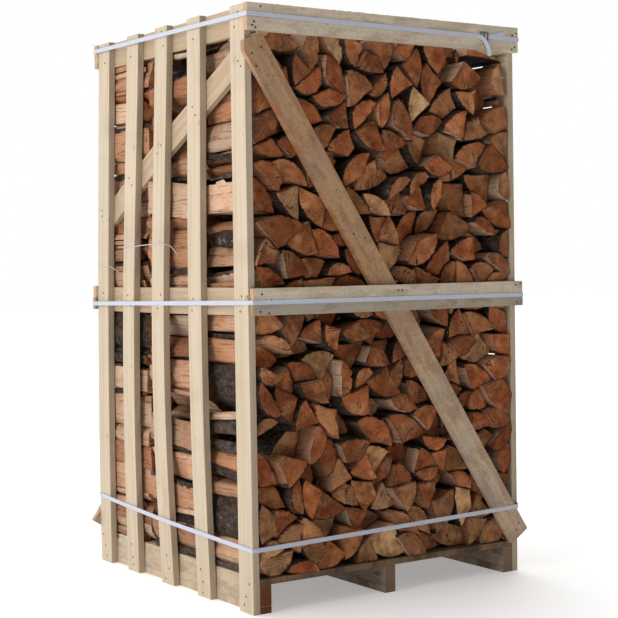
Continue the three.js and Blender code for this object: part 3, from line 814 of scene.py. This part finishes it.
def section_area(planes, low, high, boards):
    """Area in (x, z) inside the planes and outside the boards, on a fine grid."""
    x, z = np.meshgrid(np.arange(low.x, high.x, GRID), np.arange(low.z, high.z, GRID))
    inside = np.ones(x.shape, bool)
    for nx, nz, limit in planes:
        inside &= nx * x + nz * z >= limit
    for board in boards:
        (x0, z0), (x1, z1) = board.min(0), board.max(0)
        inside &= ~((x > x0) & (x < x1) & (z > z0) & (z < z1))
    return inside.sum() * GRID * GRID


def settle_row(row, seed):
    """One row's half planes, its logs as (corners, middle, pith, unskew, turn), and its fillers."""
    rng = np.random.default_rng(seed)
    low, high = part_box("log_row_" + row)
    planes, boards = bay_planes(row), side_boards(row)
    wanted = FILLED * section_area(planes, low, high, boards)
    logs = []
    while sum(log[3] for log in logs) < wanted:
        logs.append(split_log(rng))
    count = len(logs)
    up = math.ceil(count / ABREAST)
    cells = np.array([(i % ABREAST + 0.5, i // ABREAST + 0.5) for i in range(count)])
    cells *= np.array([(high.x - low.x) / ABREAST, (high.z - low.z) / up])
    place = cells + np.array([low.x, low.z]) + rng.uniform(-SCATTER, SCATTER, cells.shape)
    angle = rng.uniform(0, 2 * np.pi, count)
    lying = rng.random(count) < LYING
    angle[lying] = rng.choice((-np.pi / 2, np.pi / 2), lying.sum()) + rng.normal(0, LYING_TURN, lying.sum())
    board_middles = np.array([outline.mean(0) for outline in boards])
    local = np.array([log[0] for log in logs] + [o - m for o, m in zip(boards, board_middles)])
    heap = Heap(local, np.concatenate([place, board_middles]),
                np.concatenate([angle, np.zeros(len(boards))]), np.arange(len(local)) >= count, planes)
    heap.settle(rng)
    outlines = turned(heap.local, heap.place, heap.angle)
    packed = [(outlines[i], heap.place[i], logs[i][1], logs[i][2], heap.angle[i]) for i in range(count)]
    if row == "front":
        slab = box_outline(*TOP_SLAB)
        packed.append((slab, slab.mean(0), np.array((0.0, -0.05)), np.eye(2), 0.0))
    return planes, packed, wedge_fillers(planes, low, high, outlines, FILLERS[row], rng)


def wedge_fillers(planes, low, high, outlines, most, rng):
    """Small split pieces that take up the gaps left between the outlines."""
    x, z = np.meshgrid(np.arange(low.x, high.x, GRID), np.arange(low.z, high.z, GRID))
    free = np.full(x.shape, FILL_REACH)
    for nx, nz, limit in planes:
        free = np.minimum(free, nx * x + nz * z - limit)

    def window(points):
        (x0, z0), (x1, z1) = points.min(0) - FILL_REACH, points.max(0) + FILL_REACH
        columns = slice(max(0, int((x0 - low.x) / GRID)), max(0, int((x1 - low.x) / GRID) + 1))
        rows = slice(max(0, int((z0 - low.z) / GRID)), max(0, int((z1 - low.z) / GRID) + 1))
        return rows, columns

    for outline in outlines:
        at = window(outline)
        edge = np.roll(outline, -1, 0) - outline
        length = np.maximum(np.linalg.norm(edge, axis=1), 1e-9)
        away = np.full(x[at].shape, -1.0)
        for (px, pz), (ex, ez), size in zip(outline, edge, length):
            if size > 1e-6:
                away = np.maximum(away, ((x[at] - px) * ez - (z[at] - pz) * ex) / size)
        free[at] = np.minimum(free[at], away)
    fillers = []
    outer = (x < low.x + FILL_REACH) | (x > high.x - FILL_REACH) | (z < low.z + FILL_REACH)
    urge = np.where(outer, 1.6, 1.0)
    while (free * urge).max() > FILL_LEAST and len(fillers) < most:
        row, column = np.unravel_index((free * urge).argmax(), free.shape)
        middle = np.array([x[row, column], z[row, column]])
        turns = rng.uniform(0, 1) + np.arange(SIDES) * 2 * np.pi / SIDES
        ways = np.stack([np.cos(turns), np.sin(turns)], 1)
        reach = np.full(SIDES, GRID)
        growing = np.ones(SIDES, bool)
        while growing.any():
            ahead = middle + ways * (reach + GRID / 2)[:, None]
            cells = np.round((ahead - (low.x, low.z)) / GRID).astype(int)
            cells = np.clip(cells, 0, (x.shape[1] - 1, x.shape[0] - 1))
            growing &= (free[cells[:, 1], cells[:, 0]] > GRID / 2) & (reach < FILL_REACH)
            reach[growing] += GRID / 2
        corners = middle + ways * reach[:, None]
        at = window(corners)
        turn = np.arctan2(z[at] - middle[1], x[at] - middle[0])
        spread = np.interp(turn, turns, reach, period=2 * np.pi)
        apart = np.hypot(x[at] - middle[0], z[at] - middle[1])
        free[at] = np.minimum(free[at], (apart - spread) * 0.7)
        free[row, column] = -1.0
        fillers.append((corners, middle, rng.uniform(-0.1, 0.1, 2), np.eye(2), 0.0))
    return fillers


# ---- one log from its outline
PER_EDGE = 4  # points along each side of an outline
AROUND = SIDES * PER_EDGE
ALONG = 8  # stations along a log
INSETS = (0.0, 0.0035, 0.009, 0.5, 0.85)  # rings of an end that shows
INSETS_HIDDEN = (0.0,)
LEAST_SHARE = 0.4  # insets from here on are shares of the way in, and smaller ones are in metres
BESIDE = 0.03  # a log this near a side wall seldom turns bark to it
BARKED, BARKED_BESIDE = 0.8, 0.42  # shares of logs with bark on their curved side
BARK_RELIEF, SPLIT_RELIEF = 0.0012, 0.0028
CUT_BACK, LEAST_BACK, MOST_BACK = 0.0030, 0.0010, 0.0130  # a log's sides, inside its outline
CHIPPED = 0.07  # share of the lines along a log that are chipped
MOST_TAPER = 0.09
STRAIGHT = 0.3  # share of the roughness that is left on a log that has to close a gap
SAW_ROUGH, FLATNESS = 0.0008, 0.0006  # of an end's rim, and of the rings inside it
TWIST = 2.2  # degrees from end to end
OUT_OF_SQUARE = 0.055  # slope of an end's saw cut
END_WORN = 0.0024  # chipped away all round a sawn end
SWAY = 0.016  # how far one end lies higher or further aside than the other
END_PROUD = 0.0012  # of the saw cut, past the chipped rim


def dense_outline(corners):
    share = np.arange(PER_EDGE) / PER_EDGE
    following = np.roll(corners, -1, 0)
    steps = corners[:, None] + (following - corners)[:, None] * share[None, :, None]
    return steps.reshape(AROUND, 2)


def smooth(values, times, axis=0):
    for _ in range(times):
        values = (np.roll(values, 1, axis) + 2 * values + np.roll(values, -1, axis)) / 4
    return values


class LogMesh:
    """Gathers the vertices, faces and per-log colours of many logs into one mesh."""

    def __init__(self):
        self.points, self.faces, self.kinds = [], [], []
        self.data = {"log_place": [], "log_tone": [], "log_skin": []}
        self.count = 0

    def add(self, points, faces, kinds, place, tone, skin):
        self.points.append(points)
        self.faces.append(faces + self.count)
        self.kinds.append(kinds)
        for values, more in zip(self.data.values(), (place, np.repeat(tone[None], len(points), 0), skin)):
            values.append(more)
        self.count += len(points)

    def build(self, name, materials):
        mesh = bpy.data.meshes.new(name)
        points, faces = np.concatenate(self.points), np.concatenate(self.faces)
        mesh.vertices.add(len(points))
        mesh.vertices.foreach_set("co", points.ravel())
        mesh.loops.add(faces.size)
        mesh.loops.foreach_set("vertex_index", faces.ravel())
        mesh.polygons.add(len(faces))
        mesh.polygons.foreach_set("loop_start", np.arange(0, faces.size, 3))
        for material in materials:
            mesh.materials.append(material)
        mesh.polygons.foreach_set("material_index", np.concatenate(self.kinds))
        mesh.update(calc_edges=True)
        for key, values in self.data.items():
            layer = mesh.attributes.new(key, "FLOAT_VECTOR", "POINT")
            layer.data.foreach_set("vector", np.concatenate(values).astype(np.float32).ravel())
        mesh.validate()
        return put(name, mesh)


def ring_faces(a, b, flip):
    """Triangles between two rings of points, starting at vertices a and b."""
    i = np.arange(AROUND)
    j = (i + 1) % AROUND
    quads = np.stack([a + i, a + j, b + j, b + i], 1)
    if flip:
        quads = quads[:, ::-1]
    return np.concatenate([quads[:, [0, 1, 2]], quads[:, [0, 2, 3]]])


def end_cap(base, y_base, middle, bark, start, is_rear, insets, rng):
    """(points, skin, faces) of one sawn end, inside the last ring of a log's sides."""
    points, skin, faces = [], [], []
    flat = rng.normal(0, FLATNESS, (len(insets), AROUND))
    flat[0] = 0
    size = np.linalg.norm(base - middle, axis=1)
    for level, inset in enumerate(insets):
        share = inset / size if inset < LEAST_SHARE else np.full(AROUND, inset)
        share = np.minimum(share, 0.95)
        ring = base + (middle - base) * share[:, None]
        proud = 0.0 if level == 0 else END_PROUD
        y = y_base + (y_base.mean() - y_base) * share + (proud if is_rear else -proud)
        y = y + flat[level] * (1 - share)
        points.append(np.stack([ring[:, 0], y, ring[:, 1]], 1))
        rim = share * size
        skin.append(np.stack([bark, np.where(bark > 0, rim, 1.0), rim], 1))
        if level > 0:
            faces.append(ring_faces(start - AROUND, start, not is_rear))
        start += AROUND
    points.append(np.array([[middle[0], y_base.mean(), middle[1]]]))
    skin.append(np.array([[0.0, 1.0, 1.0]]))
    last = start - AROUND + np.arange(AROUND)
    fan = np.stack([last, np.roll(last, -1), np.full(AROUND, start)], 1)
    faces.append(fan if is_rear else fan[:, ::-1])
    return points, skin, faces


def make_log(store, log, ends, planes, rng, shown, pale):
    """One split log between two values of y, inside the bay's planes."""
    corners, middle, pith, unskew, angle = log
    beside = corners[:, 0].min() < LEFT + BESIDE or corners[:, 0].max() > RIGHT - BESIDE
    bark = np.zeros(AROUND)
    if rng.random() < (BARKED_BESIDE if beside else BARKED):
        bark[:ARC_EDGES * PER_EDGE + 1] = 1
    # relief: ridges along the grain, deeper on split faces, and a slight taper
    ridge = smooth(rng.normal(0, 1, AROUND), 1)
    chips = (rng.random(AROUND) < CHIPPED) * rng.uniform(0.8, 2.4, AROUND)
    drift = smooth(smooth(rng.normal(0, 1, (ALONG, AROUND)), 2, 0), 2, 1)
    swell = smooth(rng.normal(0, 1, (ALONG, AROUND)), 1, 1)
    depth = np.where(bark > 0, BARK_RELIEF, SPLIT_RELIEF)
    inward = CUT_BACK + depth * (ridge[None] + 1.4 * drift + 0.5 * swell + chips[None])
    inward = np.clip(inward, LEAST_BACK, MOST_BACK)
    ramp = np.linspace(0, 1, ALONG)
    if shown == SHOWN["rear"] or not shown and rng.random() < 0.5:
        ramp = ramp[::-1]
    if shown:
        inward += END_WORN * (1 - ramp[:, None]) ** 3
    tight = corners[:, 0].max() > RIGHT - BESIDE or beside and shown == SHOWN["rear"]
    tight = tight or corners[:, 1].min() < DECK_TOP + BESIDE
    tight = tight or bool((corners.max(0) > np.array(SKY_SLOT) - SLOT_RIM).all())
    slack = STRAIGHT if tight else 1.0
    inward *= slack
    taper = rng.uniform(0.0, MOST_TAPER) * ramp * slack
    arm = dense_outline(corners) - middle
    scale = 1 - taper[:, None] - inward / np.maximum(np.linalg.norm(arm, axis=1), 0.02)[None]
    twist = math.radians(rng.normal(0, TWIST)) * np.linspace(-1, 1, ALONG)
    rings = middle + rotate(arm, twist[:, None]) * scale[..., None]
    rings = rings + (ramp - (0 if shown else 0.5))[:, None, None] * rng.normal(0, SWAY * slack, 2)
    for nx, nz, limit in planes:
        outside = np.maximum(limit - rings @ np.array([nx, nz]), 0)
        rings = rings + outside[..., None] * np.array([nx, nz])
    # the two ends are sawn a little out of square
    lean_x, lean_z = rng.normal(0, OUT_OF_SQUARE, 2)
    offset = arm[:, 0] * lean_x + arm[:, 1] * lean_z
    ys = np.repeat(np.linspace(*ends, ALONG)[:, None], AROUND, 1)
    ys[0] += offset + rng.normal(0, SAW_ROUGH, AROUND)
    ys[-1] += offset * rng.uniform(-1, 1) + rng.normal(0, SAW_ROUGH, AROUND)
    points = [np.stack([rings[..., 0], ys, rings[..., 1]], -1).reshape(-1, 3)]
    skin = [np.stack([np.tile(bark, ALONG), np.zeros(AROUND * ALONG), np.zeros(AROUND * ALONG)], 1)]
    faces = [ring_faces(k * AROUND, (k + 1) * AROUND, True) for k in range(ALONG - 1)]
    side_count = sum(map(len, faces))
    for is_rear in (False, True):
        end = -1 if is_rear else 0
        start = sum(map(len, points))
        insets = INSETS if is_rear in shown else INSETS_HIDDEN
        cap = end_cap(rings[end], ys[end], middle, bark, start, is_rear, insets, rng)
        for whole, more in zip((points, skin, faces), cap):
            whole += more
    points, faces = np.concatenate(points), np.concatenate(faces)
    own = (rotate(points[:, [0, 2]] - middle, -angle) - pith) @ unskew.T
    place = np.column_stack([rotate(own, rng.uniform(0, np.pi)), points[:, 1]])
    tone = np.array([rng.beta(2.2, 2.6), rng.random(), rng.random()])
    tone[1] = 0.84 + 0.14 * tone[1] if pale else 0.90 * tone[1]
    kinds = (np.arange(len(faces)) < side_count).astype(int)
    store.add(points, faces, kinds, place, tone, np.concatenate(skin))


# ---- wood of the logs
SAW_PITCH = 0.0056
SAW_HUB = (0.34, 0.0, 0.0)
END_TONES = [
    (0.0, (0.325, 0.091, 0.029)), (0.5, (0.42, 0.136, 0.046)), (0.84, (0.47, 0.195, 0.078)),
    (0.96, (0.55, 0.31, 0.145)), (1.0, (0.66, 0.46, 0.26))]
SPLIT_TONES = [
    (0.0, (0.36, 0.14, 0.065)), (0.25, (0.52, 0.27, 0.15)), (0.7, (0.63, 0.40, 0.265)),
    (1.0, (0.69, 0.51, 0.37))]


def log_values(look):
    """A log's tones, its skin and its place, each in parts, and the place moved on by the tones."""
    place, tone, skin = (look.add("Attribute", {}, "Vector", attribute_name="log_" + name)
                         for name in ("place", "tone", "skin"))
    return tone.split(), skin.split(), place.split(), place + tone * (17.0, 23.0, 31.0)


def end_grain():
    look = finish("log_end_grain", 0.9, 0.15)
    tones, skins, (x, z, _), own = log_values(look)
    look.colour = look.ramp(tones[1], END_TONES)
    patch = look.noise(own, 30, 4, 0.62)
    look.shade(patch, 0.42, 0.66, 0.7, (0.52, 0.39, 0.34))
    look.lay(look.noise(own, 13, 3, 0.6), 0.48, 0.70, 0.5, (0.62, 0.335, 0.17))
    # saw marks: arcs about a far hub, with a streaky depth
    flat = look.add("CombineXYZ", {0: x, 1: z})
    sweep = (flat - SAW_HUB).length()
    teeth = (sweep * (2 * math.pi / SAW_PITCH) + look.noise(own, 20, 2) * 6.0).sum("SINE")
    saw = teeth * 0.24 + look.noise((sweep * 300.0, z * 24.0, tones[1]), 1.0, 2, 0.6)
    scored = look.noise(own, 16, 2).span(0.38, 0.58) * tones[2].span(0.0, 1.0, 0.6, 1.0)
    look.shade(saw, 0.40, 0.72, scored, (0.46, 0.37, 0.33))
    fuzz = look.noise(own, 240, 2, 0.7)
    look.shade(fuzz, 0.5, 0.8, 0.75, (0.38, 0.31, 0.28))
    look.lay(look.noise(own + (3.1, 1.7, 0.0), 230, 3, 0.7), 0.56, 0.74, 0.6, (0.66, 0.42, 0.25))
    # cracks that run out from the pith
    turn = z.sum("ARCTAN2", x)
    fissure = abs(look.noise((turn * 5.0, flat.length() * 7.0, tones[2]), 1.0, 2) - 0.5)
    crack = fissure.span(0.006, 0.022, 1.0, 0.0) * look.noise(own, 13, 2).span(0.60, 0.66)
    look.colour = look.mix(crack, look.colour, look.colour * (0.24, 0.15, 0.12))
    look.colour = look.colour * tones[0].span(0.0, 1.0, 0.62, 1.27)
    # painted shade round the rim of every sawn end, where the gaps between the logs fall dark, and bark on
    # the curved side
    look.shade(look.noise(own, 90, 3) * 0.008 + skins[2], 0.0095, 0.0045, 0.85, (0.42, 0.30, 0.25))
    bark = look.noise(own, 70, 3).span(0.45, 0.75)
    bark = look.mix(bark, (0.014, 0.010, 0.008), (0.055, 0.040, 0.032))
    look.lay(look.noise(own, 120, 3) * 0.006 + skins[1], 0.0066, 0.0048, 1.0, bark)
    look.show(saw * scored + fuzz * 0.35 + patch - crack * 1.2, 0.0055)
    return look.owner


def side_grain():
    look = finish("log_side_grain", 0.88, 0.15)
    tones, skins, _, own = log_values(look)
    bent = own + look.noise(own, 7, 2, output=1) * (0.03, 0.03, 0.0)
    streak = look.noise(bent * (150.0, 150.0, 4.0), 1.0, 4, 0.6)
    fine = look.noise(bent * (480.0, 480.0, 14.0), 1.0, 3, 0.6)
    look.colour = look.ramp(tones[2], SPLIT_TONES)
    look.lay(look.noise(own, 11, 3, 0.6), 0.42, 0.68, 0.55, (0.45, 0.205, 0.105))
    dark = look.colour * (0.42, 0.28, 0.21)
    look.lay(streak, 0.54, 0.66, 0.75, dark)
    look.lay(fine, 0.52, 0.72, 0.4, dark)
    split = look.colour * tones[0].span(0.0, 1.0, 0.64, 1.12)
    plates = look.noise(own * (75.0, 75.0, 32.0), 1.0, 4, 0.7)
    moss = look.noise(own, 34, 4, 0.7)
    age = (tones[0] * 7.0).sum("FRACT")
    look.colour = look.mix(age, (0.040, 0.024, 0.018), (0.098, 0.072, 0.056))
    look.shade(plates, 0.60, 0.36, 1.0, (0.30, 0.27, 0.26))
    look.lay(moss, 0.60, 0.67, 0.55, (0.26, 0.24, 0.215))
    barked = (look.noise(own, 22, 5, 0.65) + skins[0]).span(0.96, 1.0)
    look.colour = look.mix(barked, split, look.colour)
    heights = {0: barked, 2: streak * 1.2 + fine * 0.5, 3: plates * 1.1 + moss * 0.4}
    look.show(look.add("Mix", heights, data_type="FLOAT"), 0.005)
    return look.owner


# ---- where each log lies along the crate
FRONT_STEPS = (-0.009, 0.001, 0.016, 0.042, 0.08)  # how far front ends sit behind the slats' edges
FRONT_SHARES = (0.25, 0.31, 0.22, 0.14, 0.08)
WALL_STEPS = (-0.010, -0.002)  # the same, against the right wall
FILLER_STEPS = (0.045, 0.11)
TIGHT_STEPS = (0.004, 0.02)  # beside the right wall, where the side is open behind them
HELD_STEP = 0.009  # behind a board or a strap
STRAP_CLEAR = 0.02  # either side of the bottom strap's middle
HOLLOWS = {"front": 0.10, "middle": 0.24, "rear": 0.0}  # share of logs gone along a side wall
LOG_LENGTH = (0.352, 0.008)  # mean and spread
FILLER_LENGTH = (0.26, 0.33)
PALE_ENDS = (  # (x, z) of the front row's yellower logs
    (0.35, 1.60), (0.24, 1.56), (0.15, 1.53), (0.13, 1.74), (0.44, 1.82), (-0.01, 1.19),
    (0.27, 1.25), (-0.38, 1.35), (-0.21, 1.86), (-0.01, 1.37), (-0.51, 0.65), (-0.46, 0.87),
    (-0.28, 0.84), (-0.01, 0.63), (-0.04, 0.51), (0.04, 0.32), (0.41, 0.79))
PALE_BELOW = 0.32  # and most of the lowest logs are yellower too
HALF_HEIGHT = 1.03  # where each row's mesh is parted


def in_front_of(node, outline):
    """True if a front or back board covers any of an outline."""
    points = corners_of(node)[:, [0, 2]]
    low, high = points.min(0), points.max(0)
    if "brace" not in node:
        return bool((outline.max(0) > low).all() and (outline.min(0) < high).all())
    along = board_axes(node)[0]
    across = np.array([-along.z, along.x])
    band, spread = points @ across, outline @ across
    return bool(spread.max() > band.min() and spread.min() < band.max())


def behind_board(outline):
    names = ["front_brace"]
    names += [f"front_{place}_lath_{level}" for place in ("top", "middle") for level in ("lower", "upper")]
    return any(in_front_of(name, outline) for name in names)


def strap_height(x):
    """Height of the bottom strap's middle across the front at x."""
    points = corners_of("strap_bottom")
    front = points[points[:, 1] < FRONT]
    slope, base = np.polyfit(front[:, 0], front[:, 2], 1)
    return base + slope * x


def front_place(log, rng, proud):
    """y of a front log's near end: in from anything nailed or strapped across it."""
    step = rng.choice(FRONT_STEPS, p=FRONT_SHARES) + rng.uniform(-0.005, 0.005)
    outline = log[0]
    strap = strap_height(log[1][0])
    strapped = outline[:, 1].min() < strap + STRAP_CLEAR and outline[:, 1].max() > strap - STRAP_CLEAR
    if outline[:, 0].max() > RIGHT - BESIDE:
        step = rng.uniform(*WALL_STEPS)
    held = behind_board(outline) or strapped
    return FRONT + max(step, HELD_STEP if held else 0.006 - proud)


def ends_of(row, log, rng, proud, filler):
    """y of a log's two ends."""
    rear_face = slat_edge("left_slat_5", log[1][1], np.max)  # the last slats lean forward
    bay = (rear_face - FRONT) / len(ROW_NAMES)
    length = min(rng.normal(*LOG_LENGTH), bay - 0.004)
    if filler:
        length = rng.uniform(*FILLER_LENGTH)
    if row == "front":
        front = front_place(log, rng, proud)
        if filler:
            steps = TIGHT_STEPS if log[0][:, 0].max() > RIGHT - BESIDE else FILLER_STEPS
            front = FRONT + rng.uniform(*steps)
        length = min(length, FRONT + bay + rng.uniform(-0.010, 0.003) - front)
    elif row == "rear":
        front = rear_face - 0.006 - abs(rng.normal(0, 0.009)) - length
    else:
        front = FRONT + bay + (bay - length) / 2 + rng.uniform(-0.008, 0.008)
    return front, front + length


def nearest(logs, place):
    return min(range(len(logs)), key=lambda i: math.dist(logs[i][1], place))


def make_rows():
    materials = [end_grain(), side_grain()]
    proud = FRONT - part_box("log_row_front")[0].y
    for index, row in enumerate(ROW_NAMES):
        planes, logs, fillers = settle_row(row, 40 + index)
        rng = np.random.default_rng(70 + index)
        pale = {nearest(logs, place) for place in PALE_ENDS} if row == "front" else set()
        pale |= {i for i in range(len(logs)) if logs[i][1][1] < PALE_BELOW and rng.random() < 0.6}
        halves = {"lower": LogMesh(), "upper": LogMesh()}
        for number, log in enumerate(logs + fillers):
            if log[0][:, 0].min() < LEFT + BESIDE and rng.random() < HOLLOWS[row]:
                continue
            ends = ends_of(row, log, rng, proud, number >= len(logs))
            half = halves["upper" if log[1][1] > HALF_HEIGHT else "lower"]
            make_log(half, log, ends, planes, rng, SHOWN[row], number in pale)
        for level, half in halves.items():
            piece = half.build(f"{row}_logs_{level}", materials)
            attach(piece, "root")
            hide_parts("log_row_" + row)


make_rows()
